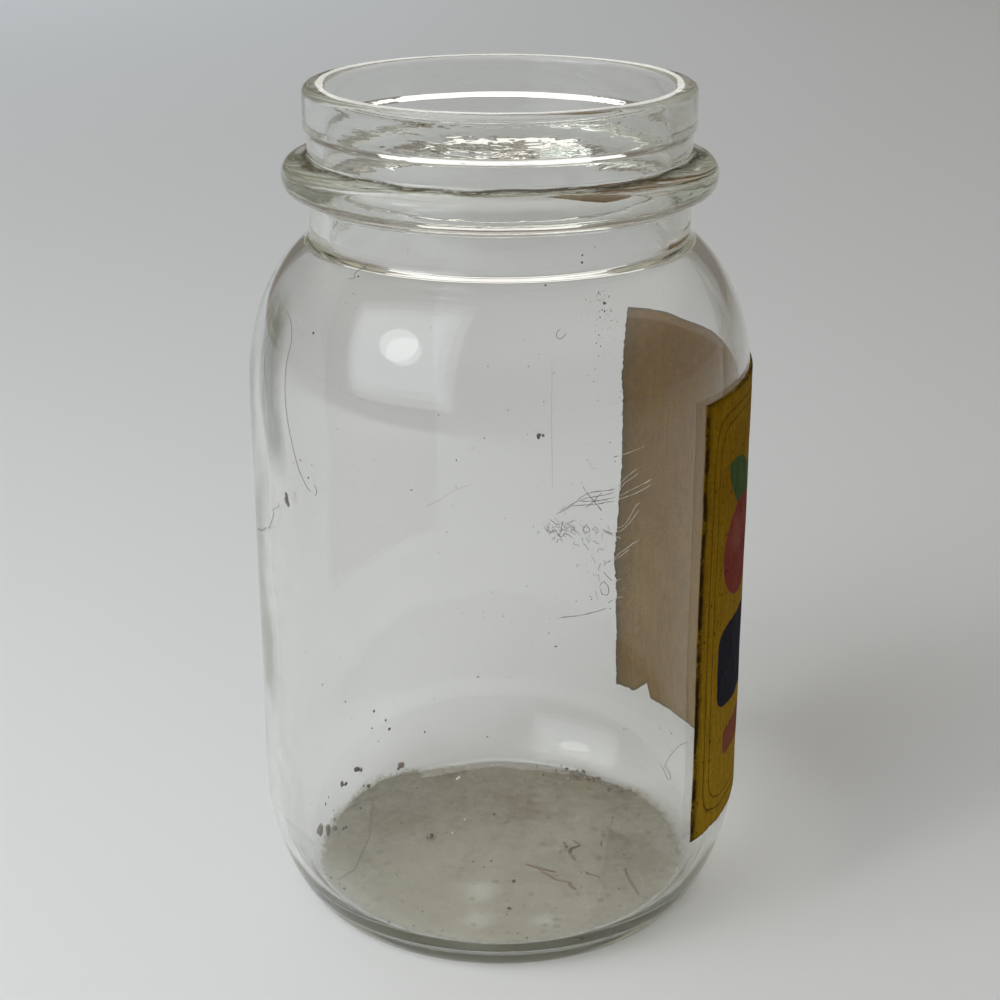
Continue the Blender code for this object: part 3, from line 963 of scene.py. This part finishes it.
def make_collar_stain():
    """A thin reddish-brown stain on top of the collar, right of the front."""
    angles = np.linspace(16.0, 68.0, 160)[:, None]
    share = np.linspace(0.0, 1.0, 16)[None, :]
    height = (155.5 + 0.95 * share) * MM + 0 * angles
    across = 1.0 - np.abs(2 * share - 1.0)
    along = np.clip(1.0 - np.abs((angles - 42.0) / 26.0), 0.0, 1.0)
    points = on_wall(angles, height, 0.03 * MM, False)
    mesh = patch_mesh("collar_stain", points, np.minimum(across * 2.0, 1.0) * np.minimum(along * 1.6, 1.0))
    material = make_patchy_film_material("rusty_stain", (0.30, 0.20, 0.13), (0.20, 0.12, 0.075),
                                   130.0, 0.55, 0.45, 0.35)
    return add_piece("collar_stain", mesh, [material])


# Hairs and fibres: runs of (angle, height in mm) on the glass, and of (angle, radius in mm) on the floor
BODY_HAIRS = (
    ((-63.2, 131.3), (-59.2, 130.6), (-56.3, 129.3), (-54.3, 126.6), (-54.3, 123.3), (-54.0, 120.2),
     (-53.2, 116.0), (-51.7, 110.5), (-49.1, 104.2), (-47.2, 101.8), (-45.8, 100.4), (-44.5, 99.9)),
    ((-43.6, 101.6), (-42.9, 100.8), (-42.9, 99.9), (-43.6, 99.4)),
    ((-57.5, 94.3), (-58.2, 93.3), (-60.9, 92.1), (-61.0, 90.8), (-62.4, 89.0), (-64.0, 87.4), (-66.9, 86.3),
     (-70.4, 84.6), (-73.5, 84.0), (-77.0, 82.4)),
    ((13.9, 133.4), (13.0, 132.9), (12.9, 132.2), (13.8, 131.9), (15.2, 132.7)),
    ((-39.8, 141.4), (-41.1, 140.9), (-42.8, 139.9), (-42.0, 139.2), (-43.9, 138.8)),
)
FAINT_HAIRS = (
    ((-15.5, 101.9), (-12.5, 103.3), (-9.3, 105.4), (-5.8, 106.7)),
    ((11.3, 129.2), (10.6, 118.4), (10.8, 105.5)),
    ((-67.5, 128.5), (-65.4, 122.0), (-64.2, 116.0), (-63.4, 110.0)),
    ((-70.0, 131.0), (-67.0, 124.0), (-64.6, 119.5), (-61.5, 114.5)),
)
CURL_HAIR = ((38.3, 45.0), (40.0, 42.5), (41.0, 40.6), (42.0, 40.7), (41.0, 42.6), (40.0, 43.6), (40.6, 44.8),
             (42.1, 45.9), (44.7, 46.9), (48.0, 46.6))
FLOOR_HAIRS = (
    ((-123.0, 35.2), (-111.6, 31.6), (-91.9, 29.1), (-71.7, 32.6), (-68.0, 35.7), (-65.7, 38.2)),
    ((-122.0, 35.8), (-118.0, 37.0), (-113.0, 38.0)),
)
FLOOR_STREAKS = (
    ((90.8, 15.6), (84.0, 17.2), (76.0, 15.4), (67.1, 16.6), (62.0, 18.2)),
    ((34.8, 14.5), (36.8, 20.4), (38.0, 22.8), (39.2, 25.4)),
    ((30.0, 11.5), (36.0, 14.2), (43.0, 17.5)),
    ((55.0, 22.0), (52.3, 26.8)),
    ((66.5, 29.3), (62.9, 30.3), (57.9, 33.0), (53.2, 36.2)),
)
EDGE_FIBRES = (
    ((146.8, 80.2), (141.2, 82.3), (135.8, 84.9)),
    ((163.0, 64.2), (158.9, 66.6), (153.6, 70.7), (146.1, 72.6), (142.3, 75.9), (138.3, 78.8)),
    ((162.0, 65.2), (155.0, 69.0), (146.3, 71.7), (142.0, 74.9), (138.0, 77.6)),
    ((156.0, 68.3), (151.1, 69.1), (144.8, 70.9), (139.9, 73.5), (132.5, 77.4)),
    ((158.0, 67.0), (151.1, 68.4), (144.8, 70.1), (138.1, 73.1), (132.5, 76.2)),
    ((145.2, 63.0), (141.9, 64.4), (140.0, 67.0), (138.0, 70.0), (136.6, 70.8)),
    ((149.0, 62.6), (145.6, 62.0), (142.0, 63.5), (139.2, 66.5), (137.0, 69.0)),
    ((148.1, 62.0), (145.2, 61.5), (142.5, 61.1)),
    ((146.3, 54.7), (142.4, 57.7), (139.0, 60.6), (136.6, 62.1)),
    ((147.5, 54.0), (143.2, 56.4), (139.8, 59.2)),
    ((164.8, 62.8), (162.6, 61.6), (161.0, 62.6), (161.6, 60.9), (159.9, 60.6)),
    ((166.8, 61.0), (165.2, 59.4), (163.4, 60.2), (162.0, 58.8), (160.2, 59.8), (158.0, 58.9)),
    ((153.9, 62.8), (153.0, 61.8), (153.8, 61.0), (155.0, 61.6), (153.6, 63.3)),
    ((150.0, 71.3), (152.0, 68.9), (154.4, 66.9)),
    ((154.3, 70.9), (152.0, 68.9), (149.6, 67.1)),
    ((162.5, 37.7), (156.4, 39.2), (150.3, 41.6), (147.2, 43.2)),
    ((149.0, 48.0), (147.8, 49.6), (146.4, 48.6), (146.6, 46.8), (148.2, 46.4), (148.9, 47.8)),
    ((147.5, 52.0), (145.0, 50.6), (142.5, 51.6)),
    ((146.6, 44.6), (144.2, 46.4), (141.8, 47.4)),
)


def make_hairs():
    """Dark hairs and dust threads on the glass and on the floor film."""
    shapes = []
    for knots in BODY_HAIRS:
        run = smooth_run(knots, 8)
        shapes.append(tube(on_wall(run[:, 0], run[:, 1] * MM, 0.07 * MM, False), 0.12 * MM))
    for knots in FAINT_HAIRS:
        run = smooth_run(knots, 8)
        shapes.append(tube(on_wall(run[:, 0], run[:, 1] * MM, 0.03 * MM, False), 0.035 * MM, 4))
    run = smooth_run(CURL_HAIR, 8)
    shapes.append(tube(on_wall(run[:, 0], run[:, 1] * MM, 0.06 * MM, False), 0.085 * MM))
    for knots in FLOOR_HAIRS:
        run = smooth_run(knots, 8)
        shapes.append(tube(on_floor(run[:, 0], run[:, 1] * MM, 0.16 * MM), 0.13 * MM))
    mesh = mesh_from("hairs", *joined(shapes))
    material = make_plain_material("grey_hair", (0.12, 0.11, 0.10), 0.6, (0.20, 0.18, 0.16))
    return add_piece("hairs", mesh, [material])


def make_fibres(rng):
    """Threads of torn paper across the label's far edge and tangled lint beside it, inside the glass."""
    pale, dark = [], []
    for knots in EDGE_FIBRES:
        run = smooth_run(knots, 8)
        points = on_wall(run[:, 0], run[:, 1] * MM, 0.09 * MM, True)
        over_paper = run[:, 0] < LABEL_TO
        for chosen, shapes in ((over_paper, pale), (~over_paper, dark)):
            if chosen.sum() > 2:
                shapes.append(tube(points[chosen], 0.17 * MM))
    for _ in range(60):
        if rng.uniform() < 0.55:
            angle, height = rng.normal(161.0, 2.8), rng.normal(60.6, 1.3)
        else:
            angle, height = rng.normal(152.5, 4.0), rng.normal(62.0, 7.0)
        heading = rng.uniform(0.0, 2.0 * math.pi)
        knots = []
        for _ in range(rng.integers(4, 8)):
            knots.append((angle, height))
            heading += rng.normal(0.0, 1.1)
            angle += 0.55 * math.cos(heading)
            height += 0.5 * math.sin(heading)
        run = smooth_run(knots, 5)
        path = on_wall(run[:, 0], run[:, 1] * MM, 0.08 * MM, True)
        dark.append(tube(path, rng.uniform(0.06, 0.14) * MM, 4))
    pale_mesh = mesh_from("paper_fibres", *joined(pale))
    finish = make_plain_material("pale_fibre", (0.50, 0.42, 0.30), 0.7, (0.62, 0.54, 0.42))
    add_piece("paper_fibres", pale_mesh, [finish])
    dark_mesh = mesh_from("lint", *joined(dark))
    finish = make_plain_material("grey_lint", (0.13, 0.125, 0.11), 0.8, (0.24, 0.23, 0.21))
    add_piece("lint", dark_mesh, [finish])


FLOOR_CRUMBS = (
    (-127.6, 43.3, 2.0), (-129.3, 43.0, 1.2), (-119.4, 43.0, 1.4), (-121.0, 42.6, 1.1), (-128.7, 39.9, 1.5),
    (-127.0, 40.6, 1.0), (-114.5, 35.4, 1.0), (-99.3, 35.8, 1.2), (-100.5, 35.2, 0.8), (-93.9, 15.1, 1.5),
    (-92.0, 15.9, 1.0), (-54.2, 27.2, 0.9), (10.4, 17.1, 0.9), (4.2, 26.8, 0.9), (8.1, 38.2, 0.8),
    (-29.7, 32.1, 0.6), (-35.0, 39.5, 0.9), (-27.7, 37.8, 0.6), (-68.0, 39.0, 0.8), (-60.0, 38.0, 0.7),
    (-108.7, 40.8, 0.8), (-107.5, 42.6, 0.8), (-111.0, 42.9, 0.6), (-105.0, 39.5, 0.7), (-57.0, 34.0, 0.6),
)
BROWN_FLAKES = (
    (-97.0, 39.4, 3.6), (-95.0, 41.2, 3.0), (-99.0, 38.2, 2.2), (-145.7, 41.0, 1.9), (-144.0, 40.6, 1.3),
    (72.6, 15.6, 1.5), (78.0, 14.6, 1.1), (69.0, 13.8, 1.0), (84.0, 14.0, 0.9),
)
PALE_GRAINS = (
    (-162.0, 30.5, 0.9), (-161.0, 30.2, 0.6), (-140.0, 11.4, 0.7), (-104.0, 10.4, 0.6), (150.0, 33.0, 0.4),
)
WALL_CRUMBS = (
    (-145.0, 13.1, 1.1), (-138.2, 14.7, 0.7), (-140.2, 18.5, 0.9), (-144.2, 15.4, 0.6), (-156.8, 10.2, 0.6),
    (-118.7, 31.5, 0.6), (-129.5, 23.3, 0.6), (168.9, 82.8, 0.7), (163.3, 30.2, 0.6), (-104.0, 82.0, 0.4),
)
GLASS_SPECKS = (
    (-54.0, 96.8, 1.3), (-54.0, 95.9, 2.1), (-53.6, 95.2, 1.8), (-47.2, 129.4, 0.5), (-60.2, 141.2, 0.5),
    (-41.1, 139.5, 0.5), (-47.9, 105.4, 0.45), (-45.4, 102.5, 0.5), (-18.5, 104.7, 0.5), (-8.9, 111.1, 0.35),
    (-12.7, 119.1, 0.3), (23.4, 144.6, 0.7), (23.2, 143.2, 0.5), (12.1, 140.0, 0.5), (7.9, 115.8, 0.8),
    (8.8, 115.7, 0.6), (1.6, 120.4, 0.4), (28.1, 54.9, 0.4), (26.4, 136.7, 0.7), (25.6, 138.2, 0.4),
    (27.4, 135.4, 0.4), (26.8, 133.9, 0.35), (25.2, 135.7, 0.3), (28.2, 137.6, 0.3), (37.6, 156.7, 0.9),
)


def make_crumbs(rng):
    """Crumbs, flakes, streaks and specks of dried jam on the floor, the heel and the wall."""
    places, sizes = [], []
    for angle, radius, size in FLOOR_CRUMBS:
        places.append(on_floor(angle, radius * MM, size * 0.2 * MM))
        sizes.append(size * MM)
    for _ in range(120):
        radius = 40.0 * math.sqrt(rng.uniform(0.02, 1.0))
        places.append(on_floor(rng.uniform(-180.0, 180.0), radius * MM, 0.1 * MM))
        sizes.append(rng.uniform(0.15, 0.5) * MM)
    for angle, height, size in WALL_CRUMBS:
        places.append(on_wall(angle, height * MM, 0.15 * MM, True))
        sizes.append(size * MM)
    mesh = mesh_from("crumbs", *specks(places, sizes, rng, 0.6))
    finish = make_plain_material("dark_crumb", (0.07, 0.06, 0.045), 0.85, (0.15, 0.125, 0.09))
    add_piece("crumbs", mesh, [finish])

    shapes = []
    places = [on_floor(angle, radius * MM, size * 0.1 * MM) for angle, radius, size in BROWN_FLAKES]
    sizes = [size * MM for angle, radius, size in BROWN_FLAKES]
    for _ in range(26):
        places.append(on_floor(rng.uniform(122.0, 158.0), rng.uniform(34.5, 39.0) * MM, 0.1 * MM))
        sizes.append(rng.uniform(0.3, 1.1) * MM)
    shapes.append(specks(places, sizes, rng, 0.6))
    for knots in FLOOR_STREAKS:
        run = smooth_run(knots, 8)
        shapes.append(tube(on_floor(run[:, 0], run[:, 1] * MM, -0.08 * MM), 0.6 * MM))
    mesh = mesh_from("brown_flakes", *joined(shapes))
    finish = make_plain_material("jam_flake", (0.20, 0.145, 0.095), 0.85, (0.27, 0.215, 0.155))
    add_piece("brown_flakes", mesh, [finish])

    places = [on_floor(angle, radius * MM, 0.15 * MM) for angle, radius, size in PALE_GRAINS]
    grain_sizes = [size * MM for angle, radius, size in PALE_GRAINS]
    mesh = mesh_from("pale_grains", *specks(places, grain_sizes, rng, 0.8))
    finish = make_plain_material("pale_grain", (0.85, 0.86, 0.84), 0.4, (0.95, 0.95, 0.93))
    add_piece("pale_grains", mesh, [finish])


def make_dust(rng):
    """Fine dark and pale dust on the glass, thickest high up near the label's far edge and by the heel."""
    places, sizes = [], []
    for angle, height, size in GLASS_SPECKS:
        places.append(on_wall(angle, height * MM, 0.05 * MM, False))
        sizes.append(size * MM)
    for _ in range(70):
        angle = rng.normal(151.5, 2.6)
        height = rng.normal(113.0, 6.0) * MM
        places.append(on_wall(angle, height, 0.04 * MM, True))
        sizes.append(rng.uniform(0.12, 0.38) * MM)
    for _ in range(90):
        places.append(on_wall(rng.normal(112.0, 9.0), rng.uniform(5.2, 24.0) * MM, 0.04 * MM, True))
        sizes.append(rng.uniform(0.1, 0.3) * MM)
    for _ in range(1200):
        height = rng.uniform(26.0, 141.0) * MM
        places.append(on_wall(rng.uniform(-180.0, 180.0), height, 0.02 * MM, rng.uniform() < 0.5))
        sizes.append(rng.uniform(0.08, 0.28) * MM)
    mesh = mesh_from("dust", *specks(places, sizes, rng, 0.4))
    finish = make_plain_material("grey_dust", (0.08, 0.075, 0.065), 0.9, (0.20, 0.19, 0.165))
    return add_piece("dust", mesh, [finish])


# Surroundings

def make_stage():
    """A wide pale floor."""
    half = 16.0
    mesh = mesh_from("floor", [(-half, -half, 0), (half, -half, 0), (half, half, 0), (-half, half, 0)],
                     [(0, 1, 2, 3)])
    floor = bpy.data.objects.new("floor", mesh)
    bpy.context.scene.collection.objects.link(floor)
    mesh.materials.append(new_material("pale_floor", (0.78, 0.775, 0.765), 0.9, 0.2)[0])


def add_area_light(name, azimuth, elevation, distance, size, power, color, shape="RECTANGLE", turn=0.0):
    """A flat lamp that faces the middle of the jar, or is turned to one side of it by some degrees."""
    lamp = bpy.data.lights.new(name, "AREA")
    lamp.shape = shape
    lamp.size, lamp.size_y = size
    lamp.energy = power
    lamp.color = color
    holder = bpy.data.objects.new(name, lamp)
    bpy.context.scene.collection.objects.link(holder)
    azimuth, elevation = math.radians(azimuth), math.radians(elevation)
    away = Vector((math.cos(elevation) * math.sin(azimuth),
                   -math.cos(elevation) * math.cos(azimuth), math.sin(elevation)))
    holder.location = Vector((0.0, 0.0, 0.10)) + away * distance
    facing = Quaternion((0.0, 0.0, 1.0), math.radians(turn)) @ away.to_track_quat("Z", "Y")
    holder.rotation_euler = facing.to_euler()
    holder.visible_camera = False
    return holder


def make_lights():
    """A window at the front left with a bright patch in it, a far glow behind the jar, and a dim room."""
    world = bpy.data.worlds.new("pale_room")
    bpy.context.scene.world = world
    world.use_nodes = True
    tree = world.node_tree
    sky = tree.nodes["Background"]
    sky.inputs["Color"].default_value = (1.0, 0.92, 0.81, 1.0)
    split = tree.nodes.new("ShaderNodeSeparateXYZ")
    tree.links.new(tree.nodes.new("ShaderNodeTexCoord").outputs["Generated"], split.inputs[0])
    brightness = ramp_node(tree, split.outputs[2], 0.28, 0.62, 0.10, 0.32)
    rays = tree.nodes.new("ShaderNodeLightPath")
    in_glass = ramp_node(tree, rays.outputs["Is Diffuse Ray"], 0.0, 1.0, 1.9, 1.0, smooth=False)
    tree.links.new(math_node(tree, "MULTIPLY", brightness, in_glass), sky.inputs["Strength"])
    daylight = (0.87, 0.94, 1.0)
    for name, distance, size, power in (("window", 0.850, (0.88, 0.90), 2.10),
                                        ("window_inner", 0.848, (0.77, 0.78), 1.10),
                                        ("window_middle", 0.846, (0.66, 0.66), 0.65)):
        add_area_light(name, -56.0, 30.0, distance, size, power, daylight, turn=32.0)
    for name, width, power in (("bright_patch_wide", 0.24, 0.42), ("bright_patch", 0.14, 0.28),
                               ("bright_patch_core", 0.065, 0.18)):
        add_area_light(name, -50.5, 30.0, 0.78, (width, width), power, (1.0, 1.0, 1.0), "ELLIPSE")
    floor_lamps = (add_area_light("room_left", -55.0, 27.0, 0.87, (0.94, 0.90), 3.0, daylight, turn=32.0),
                   add_area_light("room_back", -150.0, 30.0, 2.0, (2.0, 2.0), 12.0, (0.72, 0.86, 1.0)))
    for holder in floor_lamps:
        holder.visible_glossy = False
        holder.visible_transmission = False
        holder.data.use_shadow = False
    far_glow = add_area_light("far_glow", 180.0, 8.0, 3.0, (0.6, 0.75), 1.5, (1.0, 1.0, 0.98))
    far_glow.visible_diffuse = False


def make_camera():
    """The camera, level in roll and tilted down to the jar."""
    lens = bpy.data.cameras.new("camera")
    lens.sensor_width = CAMERA_SENSOR
    lens.lens = CAMERA_LENS
    holder = bpy.data.objects.new("camera", lens)
    holder.location = (0.0, -CAMERA_DISTANCE, CAMERA_HEIGHT)
    holder.rotation_euler = (math.pi / 2 - CAMERA_TILT, 0.0, 0.0)
    bpy.context.scene.collection.objects.link(holder)
    bpy.context.scene.camera = holder


bpy.context.scene.view_settings.view_transform = "Standard"
make_camera()
make_stage()
make_lights()
make_glass()
make_label(np.random.default_rng(SEED))
make_film()
make_smear_and_left_shade()
make_dark_groove_line()
make_collar_stain()
make_hairs()
make_fibres(np.random.default_rng(SEED + 3))
make_crumbs(np.random.default_rng(SEED + 1))
make_dust(np.random.default_rng(SEED + 2))
